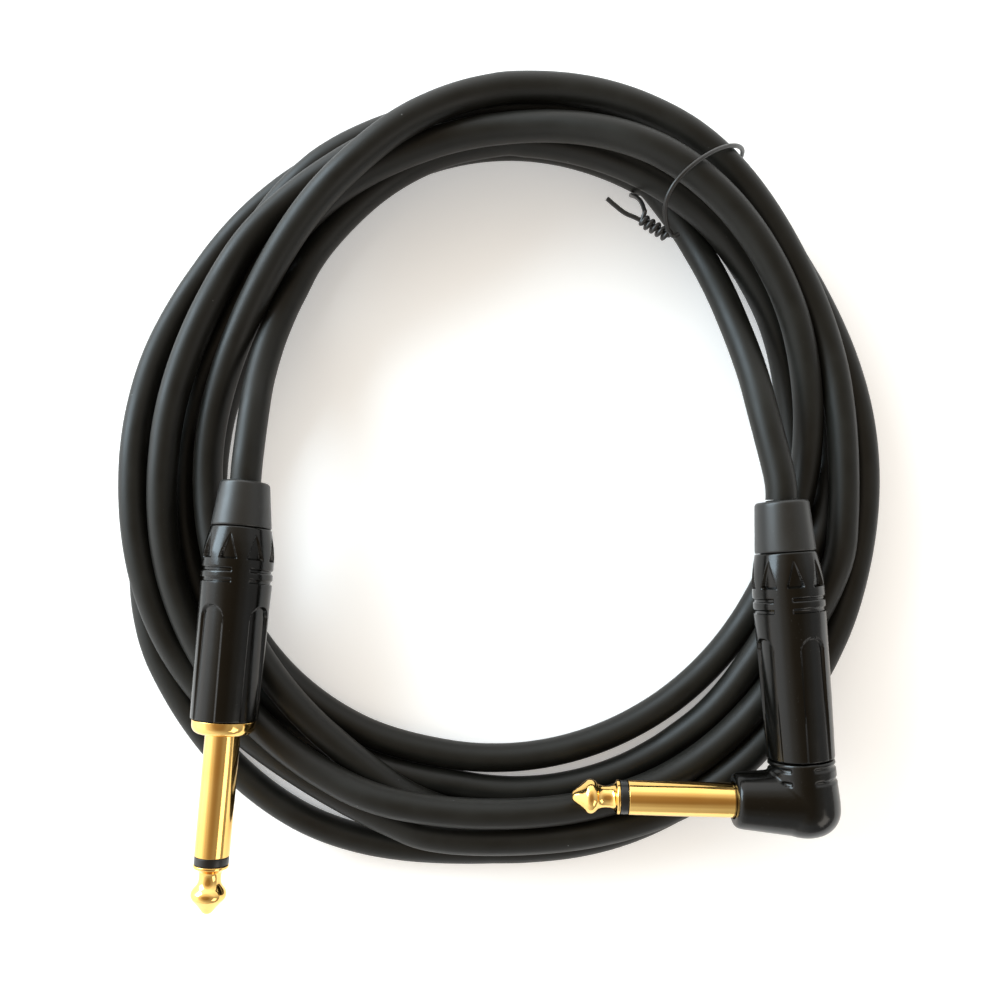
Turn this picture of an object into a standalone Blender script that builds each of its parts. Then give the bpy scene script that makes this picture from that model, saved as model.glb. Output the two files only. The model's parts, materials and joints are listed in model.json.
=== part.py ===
"""Coiled instrument cable with a straight and a right-angle 6.35 mm jack plug, held by a wire tie.

The origin is under the middle of the object, on the surface it lies on. All sizes are in millimetres.
"""

import math

import bmesh
import bpy
from mathutils import Matrix, Vector

MM = 0.001
GAP = 0.3  # between pieces that touch

CABLE_RADIUS = 2.75

# Plug finger: distances run from the tip towards the cable.
FINGER_RADIUS = 3.175
TIP_WIDEST = 3.55
TIP_NECK = 6.2
TIP_COLLAR = 7.75
RING_FRONT = 8.4
RING_REAR = 9.8
ROD_RADIUS = 1.0
TUBE_RADIUS = 2.1
SLEEVE_BORE = 2.4

# Straight plug
STRAIGHT_TIP = (-52.0, -77.9, 18.2)
STRAIGHT_REAR = (-46.7, -1.7, 17.0)
STRAIGHT_SHOULDER = 31.25
STRAIGHT_SHELL_FRONT = 33.9
STRAIGHT_SHELL_LENGTH = 34.15
STRAIGHT_NUT_LENGTH = 8.05
STRAIGHT_NUT_REAR_RADIUS = 4.45
STRAIGHT_FACING = 21.8  # degrees from the top to the middle of the shell's plain strip
FLANGE_THICKNESS = 2.35
SHANK_RADIUS = 4.6
SHANK_REAR = 38.0

# Right-angle plug: the barrel runs from the arm's axis to the cable, and the arm from the barrel.
ELBOW_CORNER = (53.9, -59.1, 16.3)
ELBOW_REAR = (50.1, -5.6, 18.4)
ELBOW_TIP = (12.4, -58.2, 15.5)
ELBOW_ARM_FACE = 13.1
ELBOW_SEAM = 7.85
ELBOW_RADIUS = 6.15
ELBOW_BOTTOM = 5.95
ELBOW_BORE = 4.6
ELBOW_SHELL_LENGTH = 36.6
ELBOW_NUT_LENGTH = 8.9
ELBOW_NUT_REAR_RADIUS = 4.75
ELBOW_FACING = -27.4
ELBOW_SLEEVE_INSIDE = 6.3
ARM_BORE = 3.5

# Barrel, both plugs: distances run from the shell's front edge towards the cable.
SHELL_RADIUS = 5.83
SHELL_REAR_RADIUS = 5.35
SHELL_BORE = 5.1
SHELL_REAR_BORE = 4.5
SHELL_LEDGE = 14.8  # from the rear edge to the ledge that the chuck presses on
LEDGE_BORE = 3.7
LEDGE_THICKNESS = 1.2
CHUCK_BORE = 3.05
CHUCK_RADIUS = 3.9
CHUCK_FLANGE_RADIUS = 4.2
NUT_BORE = 3.1
NUT_THREAD = 3.4  # length of the nut's threaded collar
LINER_RADIUS = 4.8
LINER_BORE = 4.4
CABLE_INSIDE = 21.1  # length of jacket inside the shell

# Cuts in the shell: lengthwise places are fractions of its length, and levels are radii
CLEAR_RADIUS = 8.0
STRIP_HALF_ANGLE = 14.5
NOTCH_COUNT = 8
NOTCH_FRONT, NOTCH_POINT = 0.835, 0.96
NOTCH_HALF_WIDTH = 1.5
NOTCH_FLOOR = 5.6
GROOVES = (0.72, 0.774)
GROOVE_WIDTH = 0.75
GROOVE_FLOOR = 5.93
PANEL_REAR = 0.591
PANEL_ARCH = 2.4
PANEL_HALF_WIDTH = 2.45
PANEL_FLOOR = 5.6

# Coil: its middle, and its inner radius, outer radius and height by clock hour, from 12 o'clock on.
COIL_MIDDLE = (-0.5, 4.2)
COIL_BY_HOUR = (
    (56.5, 74.0, 22.0),
    (55.5, 73.0, 26.0),
    (56.5, 73.5, 20.0),
    (56.0, 75.5, 13.0),
    (55.0, 75.0, 10.3),
    (54.5, 76.0, 10.6),
    (55.0, 77.5, 12.5),
    (56.0, 82.0, 12.0),
    (55.5, 80.0, 10.3),
    (53.0, 74.0, 12.5),
    (52.8, 73.8, 15.0),
    (53.5, 73.5, 17.0),
)
COIL_SECTIONS = 60
# The coil's cross-section, as fractions of its width and height, with a flat underside.
COIL_OUTLINE = (
    (0.15, 0.0),
    (0.85, 0.0),
    (1.0, 0.18),
    (1.0, 0.5),
    (0.9, 0.8),
    (0.65, 1.0),
    (0.35, 1.0),
    (0.1, 0.8),
    (0.0, 0.5),
    (0.0, 0.18),
)

# Routes of the two ends of the cable, from each plug's nut into the coil.
STRAIGHT_ROUTE = (
    (-45.7, 5.7, 17.0),
    (-45.8, 12.2, 15.5),
    (-45.4, 19.2, 13.3),
    (-43.6, 28.2, 11.3),
    (-40.3, 36.8, 10.5),
    (-35.7, 45.6, 10.0),
    (-24.8, 56.3, 10.0),
)
ELBOW_ROUTE = (
    (48.4, 4.2, 18.9),
    (47.4, 11.2, 17.4),
    (46.2, 19.4, 15.0),
    (44.2, 28.7, 12.0),
    (41.2, 38.2, 10.0),
    (36.8, 47.9, 8.5),
    (28.9, 54.4, 8.0),
    (19.7, 59.6, 8.0),
)
STRAIGHT_LEAD_END = 33.0  # length of the free stretch before the coil takes over
ELBOW_LEAD_END = 32.0
ROUTE_STEP = 3.0

# Wire tie
TIE_RADIUS = 0.55
TIE_INNER_ANGLE = 57.0  # where the loop crosses the coil's inner side, in degrees from +X
TIE_OUTER_ANGLE = 53.0
TIE_STANDOFF = 1.3
TIE_TWIST_RADIUS = 0.8
TIE_TWIST_TURNS = 3
TIE_TWIST_LENGTH = 9.0

BLACK_METAL = ("black_metal", (0.012, 0.012, 0.013), 0.28, 0.6)
GOLD = ("gold_plate", (0.9, 0.62, 0.25), 0.15, 1.0)
BLACK_PLASTIC = ("black_plastic", (0.02, 0.02, 0.02), 0.45, 0.0)
PALE_PLASTIC = ("pale_plastic", (0.75, 0.74, 0.7), 0.5, 0.0)
JACKET = ("jacket_rubber", (0.028, 0.028, 0.024), 0.6, 0.0)
TINNED = ("tinned_metal", (0.7, 0.7, 0.68), 0.3, 1.0)
COPPER = ("copper_braid", (0.75, 0.38, 0.2), 0.35, 1.0)
TIE_PLASTIC = ("tie_plastic", (0.015, 0.015, 0.016), 0.35, 0.0)


# Scene and materials


def clear_scene():
    for obj in list(bpy.data.objects):
        bpy.data.objects.remove(obj)


def new_collection(name):
    collection = bpy.data.collections.new(name)
    bpy.context.scene.collection.children.link(collection)
    return collection


def material(finish):
    name, colour, roughness, metallic = finish
    made = bpy.data.materials.get(name)
    if made is None:
        made = bpy.data.materials.new(name)
        made.use_nodes = True
        shader = made.node_tree.nodes["Principled BSDF"]
        shader.inputs["Base Color"].default_value = (*colour, 1.0)
        shader.inputs["Roughness"].default_value = roughness
        shader.inputs["Metallic"].default_value = metallic
    return made


clear_scene()
PARTS = new_collection("instrument_cable")
CUTTERS = new_collection("cutters")
CUTTERS.hide_render = True


def add_part(name, data, finish, axis=None):
    part = bpy.data.objects.new(name, data)
    part.parent = axis
    data.materials.append(material(finish))
    PARTS.objects.link(part)
    return part


def add_cutter(name, data, axis=None):
    cutter = bpy.data.objects.new(name, data)
    cutter.parent = axis
    cutter.hide_render = True
    cutter.display_type = "WIRE"
    CUTTERS.objects.link(cutter)
    return cutter


def axis_frame(name, start, end):
    """An empty at start whose Z runs to end and whose Y is as near to up as that allows."""
    along = (Vector(end) - Vector(start)).normalized()
    across = Vector((0, 0, 1)).cross(along).normalized()
    upward = along.cross(across)
    turn = Matrix((across, upward, along)).transposed().to_4x4()
    empty = bpy.data.objects.new(name, None)
    empty.matrix_world = Matrix.Translation(Vector(start) * MM) @ turn
    PARTS.objects.link(empty)
    return empty


# Shapes


def turned(name, outline, finish, axis, steps=32, solid=False):
    """A turned piece. The outline's (radius, distance) points go round it from the outer side's far end.

    A solid piece's outline starts and ends on the axis, and a ring's outline is closed.
    """
    mesh = bpy.data.meshes.new(name)
    points = [(radius * MM, 0.0, distance * MM) for radius, distance in outline]
    edges = [(i, i + 1) for i in range(len(points) - 1)]
    if not solid:
        edges.append((len(points) - 1, 0))
    mesh.from_pydata(points, edges, [])
    part = add_part(name, mesh, finish, axis)
    screw = part.modifiers.new("turn", "SCREW")
    screw.steps = steps
    screw.render_steps = steps
    screw.use_merge_vertices = True
    screw.merge_threshold = 0.00001
    screw.use_smooth_shade = True
    return part


def ring_outline(inner, outer, front, rear):
    return [(outer, rear), (outer, front), (inner, front), (inner, rear)]


def box_mesh(name, low, high, turn=0.0):
    """A box between two corners, turned about Z by turn degrees."""
    mesh = bpy.data.meshes.new(name)
    bm = bmesh.new()
    bmesh.ops.create_cube(bm, size=1.0)
    size = [(b - a) * MM for a, b in zip(low, high)]
    middle = [(a + b) / 2 * MM for a, b in zip(low, high)]
    bmesh.ops.scale(bm, vec=size, verts=bm.verts)
    bmesh.ops.translate(bm, vec=middle, verts=bm.verts)
    bmesh.ops.rotate(bm, cent=(0, 0, 0), matrix=Matrix.Rotation(math.radians(turn), 3, "Z"), verts=bm.verts)
    bm.to_mesh(mesh)
    bm.free()
    return mesh


def boolean(part, cutter, operation="DIFFERENCE"):
    modifier = part.modifiers.new(cutter.name, "BOOLEAN")
    modifier.operation = operation
    modifier.object = cutter
    return modifier


def smooth_points(route, step=1.0):
    """Points every step along a Catmull-Rom curve through the route's points."""
    route = [Vector(point) for point in route]
    ends = [route[0] * 2 - route[1]] + route + [route[-1] * 2 - route[-2]]
    points = [route[0]]
    for i in range(1, len(ends) - 2):
        before, start, end, after = ends[i - 1 : i + 3]
        count = max(1, round((end - start).length / step))
        for k in range(1, count + 1):
            t = k / count
            slope = (end - before) * t + (before * 2 - start * 5 + end * 4 - after) * t**2
            points.append(start + (slope + (start * 3 - before - end * 3 + after) * t**3) / 2)
    return points


def stretch(route, start, end, step):
    """Points about every step along the smooth route, between two distances from its start."""
    fine = smooth_points(route, step=0.5)
    travelled = [0.0]
    for a, b in zip(fine, fine[1:]):
        travelled.append(travelled[-1] + (b - a).length)
    end = min(end, travelled[-1])
    count = max(2, round((end - start) / step))
    points = []
    for k in range(count + 1):
        wanted = start + (end - start) * k / count
        i = next(i for i in range(1, len(fine)) if travelled[i] >= wanted - 1e-6)
        share = (wanted - travelled[i - 1]) / (travelled[i] - travelled[i - 1])
        points.append(fine[i - 1].lerp(fine[i], share))
    return points


def tube_curve(name, points, radius, sides=2):
    curve = bpy.data.curves.new(name, "CURVE")
    curve.dimensions = "3D"
    curve.bevel_depth = radius * MM
    curve.bevel_resolution = sides
    curve.use_fill_caps = True
    spline = curve.splines.new("POLY")
    spline.points.add(len(points) - 1)
    for spline_point, point in zip(spline.points, points):
        spline_point.co = (*(Vector(point) * MM), 1.0)
    return curve


def solid_tube(name, points, radius, sides=2):
    """A tube as a closed mesh, which a Boolean can use."""
    holder = bpy.data.objects.new(name, tube_curve(name, points, radius, sides))
    bpy.context.scene.collection.objects.link(holder)
    graph = bpy.context.evaluated_depsgraph_get()
    mesh = bpy.data.meshes.new_from_object(holder.evaluated_get(graph))
    bpy.data.objects.remove(holder)
    bm = bmesh.new()
    bm.from_mesh(mesh)
    bmesh.ops.remove_doubles(bm, verts=bm.verts, dist=0.000001)
    bm.to_mesh(mesh)
    bm.free()
    return mesh


# Plug finger: tip, insulating ring and tube, sleeve


def add_finger(plug, axis, rod_end, tube_end):
    tip = [
        (0.0, rod_end),
        (ROD_RADIUS, rod_end),
        (ROD_RADIUS, TIP_COLLAR + 0.35),
        (FINGER_RADIUS - 0.05, TIP_COLLAR + 0.35),
        (FINGER_RADIUS - 0.05, TIP_COLLAR),
        (2.35, TIP_COLLAR - 0.55),
        (1.98, TIP_NECK + 0.3),
        (1.98, TIP_NECK - 0.35),
        (2.3, TIP_NECK - 0.9),
        (2.95, TIP_WIDEST + 0.6),
        (FINGER_RADIUS - 0.03, TIP_WIDEST),
        (2.85, TIP_WIDEST - 0.75),
        (1.5, 0.9),
        (0.9, 0.2),
        (0.65, 0.0),
        (0.0, 0.0),
    ]
    turned(f"{plug}_tip_contact", tip, GOLD, axis, solid=True)
    ring = ring_outline(ROD_RADIUS + GAP, FINGER_RADIUS - 0.05, RING_FRONT, RING_REAR)
    turned(f"{plug}_insulating_ring", ring, BLACK_PLASTIC, axis)
    tube = ring_outline(ROD_RADIUS + GAP, TUBE_RADIUS, RING_REAR + GAP, tube_end)
    turned(f"{plug}_insulating_tube", tube, PALE_PLASTIC, axis, steps=24)


# Barrel: everything between the shell's front edge and the cable


def shell_outline(length):
    """The shell swells towards the cable and then draws in to the nut."""
    outer = [
        (SHELL_REAR_RADIUS, length),
        (5.55, length - 0.8),
        (5.95, length * 0.92),
        (6.2, length * 0.865),
        (6.27, length * 0.8),
        (6.27, length * 0.7),
        (6.15, length * 0.59),
        (6.0, length * 0.25),
        (SHELL_RADIUS, 0.3),
        (SHELL_RADIUS - 0.25, 0.0),
    ]
    inner = [
        (SHELL_BORE, 0.0),
        (SHELL_BORE, length - SHELL_LEDGE),
        (LEDGE_BORE, length - SHELL_LEDGE),
        (LEDGE_BORE, length - SHELL_LEDGE + LEDGE_THICKNESS),
        (SHELL_REAR_BORE, length - SHELL_LEDGE + LEDGE_THICKNESS),
        (SHELL_REAR_BORE, length),
    ]
    return outer + inner


def loft(bm, sections):
    """A closed solid through sections that have the same number of corners."""
    rings = [[bm.verts.new(Vector(corner) * MM) for corner in section] for section in sections]
    for first, second in zip(rings, rings[1:]):
        for k in range(len(first)):
            after = (k + 1) % len(first)
            bm.faces.new((first[k], first[after], second[after], second[k]))
    bm.faces.new(rings[0])
    bm.faces.new(rings[-1])


def turn_sections(sections, angle):
    """The sections turned round the barrel from its top, towards +X at the top of the coil."""
    turn = Matrix.Rotation(math.radians(angle), 3, "Z")
    return [[turn @ Vector(corner) for corner in section] for section in sections]


def cutter_from(name, axis, solids):
    mesh = bpy.data.meshes.new(name)
    bm = bmesh.new()
    for sections in solids:
        loft(bm, sections)
    bmesh.ops.recalc_face_normals(bm, faces=bm.faces)
    bm.to_mesh(mesh)
    bm.free()
    return add_cutter(name, mesh, axis)


def notch_cutter(plug, axis, length, facing):
    """Triangular notches round the shell's rear end, their points towards the nut."""
    front, point = length * NOTCH_FRONT, length * NOTCH_POINT
    corners = ((-NOTCH_HALF_WIDTH, front), (NOTCH_HALF_WIDTH, front), (0.0, point))
    prism = [[(across, level, along) for across, along in corners] for level in (NOTCH_FLOOR, CLEAR_RADIUS)]
    spacing = 360 / NOTCH_COUNT
    angles = [facing + spacing * (k + 0.5) for k in range(NOTCH_COUNT)]
    return cutter_from(f"{plug}_notch_cutter", axis, [turn_sections(prism, angle) for angle in angles])


def panel_cutter(plug, axis, length, facing):
    """Four long shallow panels with arched tops, between the plain strips."""
    arch = length * PANEL_REAR
    sections = []
    for k in range(9):
        across = PANEL_HALF_WIDTH * (k / 4 - 1)
        floor = math.sqrt(PANEL_FLOOR**2 - across**2)
        top = arch - PANEL_ARCH * (1 - math.sqrt(1 - (across / PANEL_HALF_WIDTH) ** 2))
        corners = ((floor, -1.0), (CLEAR_RADIUS, -1.0), (CLEAR_RADIUS, top), (floor, top))
        sections.append([(across, level, along) for level, along in corners])
    angles = [facing + 45 + 90 * k for k in range(4)]
    return cutter_from(f"{plug}_panel_cutter", axis, [turn_sections(sections, angle) for angle in angles])


def groove_cutter(plug, axis, length, facing):
    """Two ring grooves, broken by the plain strips on opposite sides."""
    solids = []
    for groove in GROOVES:
        front = length * groove - GROOVE_WIDTH / 2
        rear = front + GROOVE_WIDTH
        corners = ((GROOVE_FLOOR, front), (CLEAR_RADIUS, front), (CLEAR_RADIUS, rear), (GROOVE_FLOOR, rear))
        section = [[(0.0, level, along) for level, along in corners]]
        for start in (facing, facing + 180):
            angles = [start + STRIP_HALF_ANGLE + (180 - 2 * STRIP_HALF_ANGLE) * k / 14 for k in range(15)]
            solids.append([turn_sections(section, angle)[0] for angle in angles])
    return cutter_from(f"{plug}_groove_cutter", axis, solids)


def add_shell(plug, axis, length, facing):
    shell = turned(f"{plug}_shell", shell_outline(length), BLACK_METAL, axis, steps=40)
    for make_cutter in (notch_cutter, panel_cutter, groove_cutter):
        boolean(shell, make_cutter(plug, axis, length, facing))


def add_chuck(plug, axis, length):
    """A collet whose slotted end grips the jacket when the nut presses on it."""
    front = length - SHELL_LEDGE + LEDGE_THICKNESS + GAP
    rear = length - NUT_THREAD - GAP * 2
    outline = [
        (CHUCK_RADIUS - 0.4, rear),
        (CHUCK_RADIUS, rear - 0.6),
        (CHUCK_RADIUS, front + 1.3),
        (CHUCK_FLANGE_RADIUS, front + 1.3),
        (CHUCK_FLANGE_RADIUS, front),
        (CHUCK_BORE, front),
        (CHUCK_BORE, rear),
    ]
    chuck = turned(f"{plug}_chuck", outline, BLACK_PLASTIC, axis, steps=24)
    for turn in (45, 135):
        low = (-6, -0.35, front + 2.8)
        slot = box_mesh(f"{plug}_slot_cutter_{turn}", low, (6, 0.35, length), turn)
        boolean(chuck, add_cutter(slot.name, slot, axis))


def add_nut(plug, axis, length, nut_length, rear_radius):
    """The strain-relief nut, whose threaded collar screws into the shell's rear end."""
    front, rear = length + GAP, length + GAP + nut_length
    front_radius = SHELL_REAR_RADIUS - 0.03
    outline = [
        (NUT_BORE + 0.45, rear),
        (rear_radius - 0.45, rear),
        (rear_radius - 0.1, rear - 0.3),
        (rear_radius, rear - 0.75),
        (front_radius, front + 0.3),
        (front_radius - 0.25, front),
        (SHELL_REAR_BORE - GAP, front),
        (SHELL_REAR_BORE - GAP, length - NUT_THREAD),
        (NUT_BORE, length - NUT_THREAD),
        (NUT_BORE, rear - 0.4),
    ]
    turned(f"{plug}_boot_nut", outline, BLACK_METAL, axis)


def add_ground_tab(plug, axis, front, cable_front):
    """A strip from the sleeve to the cable, ending in a clamp bent round the jacket."""
    clamp_front, clamp_rear = cable_front + 1.2, cable_front + 5.2
    inner, outer = CABLE_RADIUS + GAP, 3.95
    ring = ring_outline(inner, outer, clamp_front, clamp_rear)
    tab = turned(f"{plug}_ground_tab", ring, TINNED, axis, steps=24)
    strip = box_mesh(f"{plug}_tab_strip", (-1.2, -outer, front), (1.2, -3.35, clamp_front + 1.0))
    boolean(tab, add_cutter(strip.name, strip, axis), "UNION")
    opening = box_mesh(f"{plug}_clamp_cutter", (-1.7, 0, clamp_front - 1), (1.7, 6, clamp_rear + 1))
    boolean(tab, add_cutter(opening.name, opening, axis))


def add_wiring(plug, axis, lug_rear, lug_top, tab_level, cable_front):
    """The core runs to the tip's lug, and the gathered shield to the ground tab."""
    core_level = lug_top + 1.15
    core = [(0, 0, cable_front - GAP), (0, 0.2, cable_front - 1.0)]
    core += [(0, core_level, lug_rear + 0.2), (0, core_level, lug_rear - 2.4)]
    core_data = tube_curve(f"{plug}_core_wire", smooth_points(core), 0.8)
    add_part(f"{plug}_core_wire", core_data, BLACK_PLASTIC, axis)
    shield = [(0, -1.9, cable_front - GAP), (0, -2.05, cable_front - 1.2)]
    shield += [(0, tab_level, cable_front - 2.6), (0, tab_level, cable_front - 5.0)]
    shield_data = tube_curve(f"{plug}_shield_braid", smooth_points(shield), 0.55)
    add_part(f"{plug}_shield_braid", shield_data, COPPER, axis)


def add_barrel(plug, axis, length, facing, nut, liner_front, tab_front):
    cable_front = length - CABLE_INSIDE
    nut_length, nut_rear_radius = nut
    add_shell(plug, axis, length, facing)
    add_chuck(plug, axis, length)
    add_nut(plug, axis, length, nut_length, nut_rear_radius)
    liner = ring_outline(LINER_BORE, LINER_RADIUS, liner_front, length - SHELL_LEDGE - GAP)
    turned(f"{plug}_liner", liner, PALE_PLASTIC, axis, steps=24)
    add_ground_tab(plug, axis, tab_front, cable_front)
    cable_rear = length + nut_length + 2 * GAP
    end = [(0, cable_rear), (CABLE_RADIUS, cable_rear), (CABLE_RADIUS, cable_front), (0, cable_front)]
    turned(f"{plug}_cable_end", end, JACKET, axis, steps=16, solid=True)
    return cable_front, cable_rear


# The two plugs


def add_straight_plug():
    axis = axis_frame("straight_plug_axis", STRAIGHT_TIP, STRAIGHT_REAR)
    washer_front = SHANK_REAR + GAP
    washer_rear = washer_front + 1.4
    rod_end = washer_rear + 0.5
    add_finger("straight", axis, rod_end, SHANK_REAR)
    shoulder = STRAIGHT_SHOULDER
    flange_rear = shoulder + FLANGE_THICKNESS
    sleeve = [
        (SHANK_RADIUS, SHANK_REAR),
        (SHANK_RADIUS, flange_rear),
        (6.0, flange_rear),
        (6.0, flange_rear - 0.6),
        (4.35, shoulder),
        (FINGER_RADIUS, shoulder),
        (FINGER_RADIUS, RING_REAR + GAP),
        (SLEEVE_BORE, RING_REAR + GAP),
        (SLEEVE_BORE, SHANK_REAR),
    ]
    turned("straight_sleeve_contact", sleeve, GOLD, axis, steps=40)
    washer = ring_outline(ROD_RADIUS + GAP, 4.1, washer_front, washer_rear)
    turned("straight_rear_insulator", washer, PALE_PLASTIC, axis, steps=24)
    lug_front, lug_rear = rod_end + GAP, rod_end + 3.4
    lug = box_mesh("straight_tip_lug", (-1.6, -0.35, lug_front), (1.6, 0.35, lug_rear))
    add_part("straight_tip_lug", lug, TINNED, axis)

    barrel = axis_frame("straight_barrel_axis", STRAIGHT_TIP, STRAIGHT_REAR)
    barrel.matrix_world = barrel.matrix_world @ Matrix.Translation((0, 0, STRAIGHT_SHELL_FRONT * MM))
    cable_front, cable_rear = add_barrel(
        "straight",
        barrel,
        STRAIGHT_SHELL_LENGTH,
        STRAIGHT_FACING,
        (STRAIGHT_NUT_LENGTH, STRAIGHT_NUT_REAR_RADIUS),
        liner_front=SHANK_REAR + GAP - STRAIGHT_SHELL_FRONT,
        tab_front=washer_rear + GAP - STRAIGHT_SHELL_FRONT,
    )
    add_wiring("straight", barrel, lug_rear - STRAIGHT_SHELL_FRONT, 0.35, -2.5, cable_front)
    return barrel.matrix_world @ Vector((0, 0, (cable_rear + GAP) * MM)), barrel.matrix_world


def add_elbow_head(barrel, arm, arm_length):
    """A round head with a conical arm on one side, bored for the finger and the wiring."""
    round_up = -ELBOW_BOTTOM + 4.4
    head_outline = [(0, ELBOW_SEAM), (SHELL_RADIUS, ELBOW_SEAM), (SHELL_RADIUS + 0.05, ELBOW_SEAM - 3.0)]
    head_outline += [(ELBOW_RADIUS, 1.0)]
    head_outline += [
        (ELBOW_RADIUS - 4.4 * (1 - math.cos(turn)), round_up - 4.4 * math.sin(turn))
        for turn in (0.0, 0.32, 0.64, 0.96, 1.28, math.pi / 2)
    ]
    head_outline += [(0, -ELBOW_BOTTOM)]
    head = turned("elbow_head", head_outline, BLACK_METAL, barrel, steps=40, solid=True)
    face = arm_length - ELBOW_ARM_FACE
    cone = [
        (0, arm_length - 0.5),
        (5.8, arm_length - 0.5),
        (5.1, face + 1.3),
        (4.85, face + 0.4),
        (4.4, face),
        (0, face),
    ]
    arm_piece = turned("elbow_arm_union", cone, BLACK_METAL, arm, steps=40, solid=True)
    move_to_cutters(arm_piece)
    boolean(head, arm_piece, "UNION")
    arm_bore_outline = [(0, arm_length), (ARM_BORE, arm_length), (ARM_BORE, face - 1), (0, face - 1)]
    arm_bore = turned("elbow_arm_bore", arm_bore_outline, BLACK_METAL, arm, steps=32, solid=True)
    move_to_cutters(arm_bore)
    boolean(head, arm_bore)
    depth = ELBOW_SEAM + 1
    bore_outline = [(0, depth), (ELBOW_BORE, depth), (ELBOW_BORE, -4.4), (0, -4.4)]
    bore = turned("elbow_barrel_bore", bore_outline, BLACK_METAL, barrel, steps=32, solid=True)
    move_to_cutters(bore)
    boolean(head, bore)


def move_to_cutters(piece):
    PARTS.objects.unlink(piece)
    CUTTERS.objects.link(piece)
    piece.hide_render = True
    piece.display_type = "WIRE"


def add_elbow_plug():
    head = axis_frame("elbow_head_axis", ELBOW_CORNER, ELBOW_REAR)
    arm = axis_frame("elbow_arm_axis", ELBOW_TIP, ELBOW_CORNER)
    arm_length = (Vector(ELBOW_CORNER) - Vector(ELBOW_TIP)).length
    add_elbow_head(head, arm, arm_length)

    sleeve_end = arm_length - ELBOW_ARM_FACE + ELBOW_SLEEVE_INSIDE
    rod_end = arm_length - 1.3
    add_finger("elbow", arm, rod_end, sleeve_end)
    sleeve = ring_outline(SLEEVE_BORE, FINGER_RADIUS, RING_REAR + GAP, sleeve_end)
    turned("elbow_sleeve_contact", sleeve, GOLD, arm, steps=40)
    washer = ring_outline(ROD_RADIUS + GAP, 3.1, sleeve_end + GAP, sleeve_end + 1.3)
    turned("elbow_rear_insulator", washer, PALE_PLASTIC, arm, steps=24)

    start = ELBOW_SEAM + GAP
    barrel = axis_frame("elbow_barrel_axis", ELBOW_CORNER, ELBOW_REAR)
    barrel.matrix_world = barrel.matrix_world @ Matrix.Translation((0, 0, start * MM))
    cable_front, cable_rear = add_barrel(
        "elbow",
        barrel,
        ELBOW_SHELL_LENGTH,
        ELBOW_FACING,
        (ELBOW_NUT_LENGTH, ELBOW_NUT_REAR_RADIUS),
        liner_front=1.0,
        tab_front=5.0 - start,
    )
    lug_rear = cable_front - 4.2
    lug = box_mesh("elbow_tip_lug", (-0.35, -1.6, -2.0 - start), (0.35, 1.6, lug_rear))
    add_part("elbow_tip_lug", lug, TINNED, barrel)
    add_wiring("elbow", barrel, lug_rear - 0.2, 1.6, -2.5, cable_front)
    return barrel.matrix_world @ Vector((0, 0, (cable_rear + GAP) * MM)), barrel.matrix_world


# Coil and free stretches of cable


def coil_size(angle):
    """Inner radius, outer radius and height at an angle in degrees from +X, anticlockwise."""
    hour = (90 - angle) / 30 % 12
    before = int(hour) % 12
    share = hour - int(hour)
    blend = share * share * (3 - 2 * share)
    pair = zip(COIL_BY_HOUR[before], COIL_BY_HOUR[(before + 1) % 12])
    return [a + (b - a) * blend for a, b in pair]


def coil_point(angle, across, up):
    """The point at fractions of the coil's width and height."""
    inner, outer, height = coil_size(angle)
    radius = inner + (outer - inner) * across
    turn = math.radians(angle)
    x = COIL_MIDDLE[0] + radius * math.cos(turn)
    y = COIL_MIDDLE[1] + radius * math.sin(turn)
    return Vector((x, y, height * up))


def add_coil(straight_stub, elbow_stub):
    """The whole bundle as a loft round the coil, joined to the two turns that leave it."""
    corners = len(COIL_OUTLINE)
    verts = []
    faces = []
    for i in range(COIL_SECTIONS):
        angle = 360 * i / COIL_SECTIONS
        verts += [coil_point(angle, across, up) * MM for across, up in COIL_OUTLINE]
        following = (i + 1) % COIL_SECTIONS
        for k in range(corners):
            after = (k + 1) % corners
            here, there = i * corners, following * corners
            faces.append((here + k, there + k, there + after, here + after))
    mesh = bpy.data.meshes.new("cable_coil")
    mesh.from_pydata(verts, [], faces)
    bm = bmesh.new()
    bm.from_mesh(mesh)
    bmesh.ops.recalc_face_normals(bm, faces=bm.faces)
    bm.to_mesh(mesh)
    bm.free()
    mesh.shade_smooth()
    coil = add_part("cable_coil", mesh, JACKET)
    for name, points in (("straight_stub", straight_stub), ("elbow_stub", elbow_stub)):
        boolean(coil, add_cutter(name, solid_tube(name, points, CABLE_RADIUS)), "UNION")
    groove_low, groove_high = (-14, -1.3, -1.0), (14, 1.3, 1.9)
    middle = (tie_point(0.0, 0.0) + tie_point(1.0, 0.0)) / 2
    heading = tie_point(1.0, 0.0) - tie_point(0.0, 0.0)
    groove = box_mesh("tie_groove", groove_low, groove_high)
    cutter = add_cutter("tie_groove", groove)
    cutter.matrix_world = Matrix.Translation(Vector((middle.x, middle.y, 0)) * MM) @ Matrix.Rotation(
        math.atan2(heading.y, heading.x), 4, "Z"
    )
    boolean(coil, cutter)


def add_cable(straight_exit, elbow_exit):
    stubs = []
    ends = (
        ("straight_lead", straight_exit, STRAIGHT_ROUTE, STRAIGHT_LEAD_END),
        ("elbow_lead", elbow_exit, ELBOW_ROUTE, ELBOW_LEAD_END),
    )
    for name, (start, frame), route, lead_end in ends:
        start = start / MM
        ahead = start + frame.to_3x3() @ Vector((0, 0, 4.0))
        whole = [tuple(start), tuple(ahead), *route]
        points = stretch(whole, 0.0, lead_end, ROUTE_STEP)
        add_part(name, tube_curve(name, points, CABLE_RADIUS, sides=4), JACKET)
        stubs.append(stretch(whole, lead_end + GAP, 1000.0, ROUTE_STEP))
    add_coil(*stubs)


# Wire tie


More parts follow.
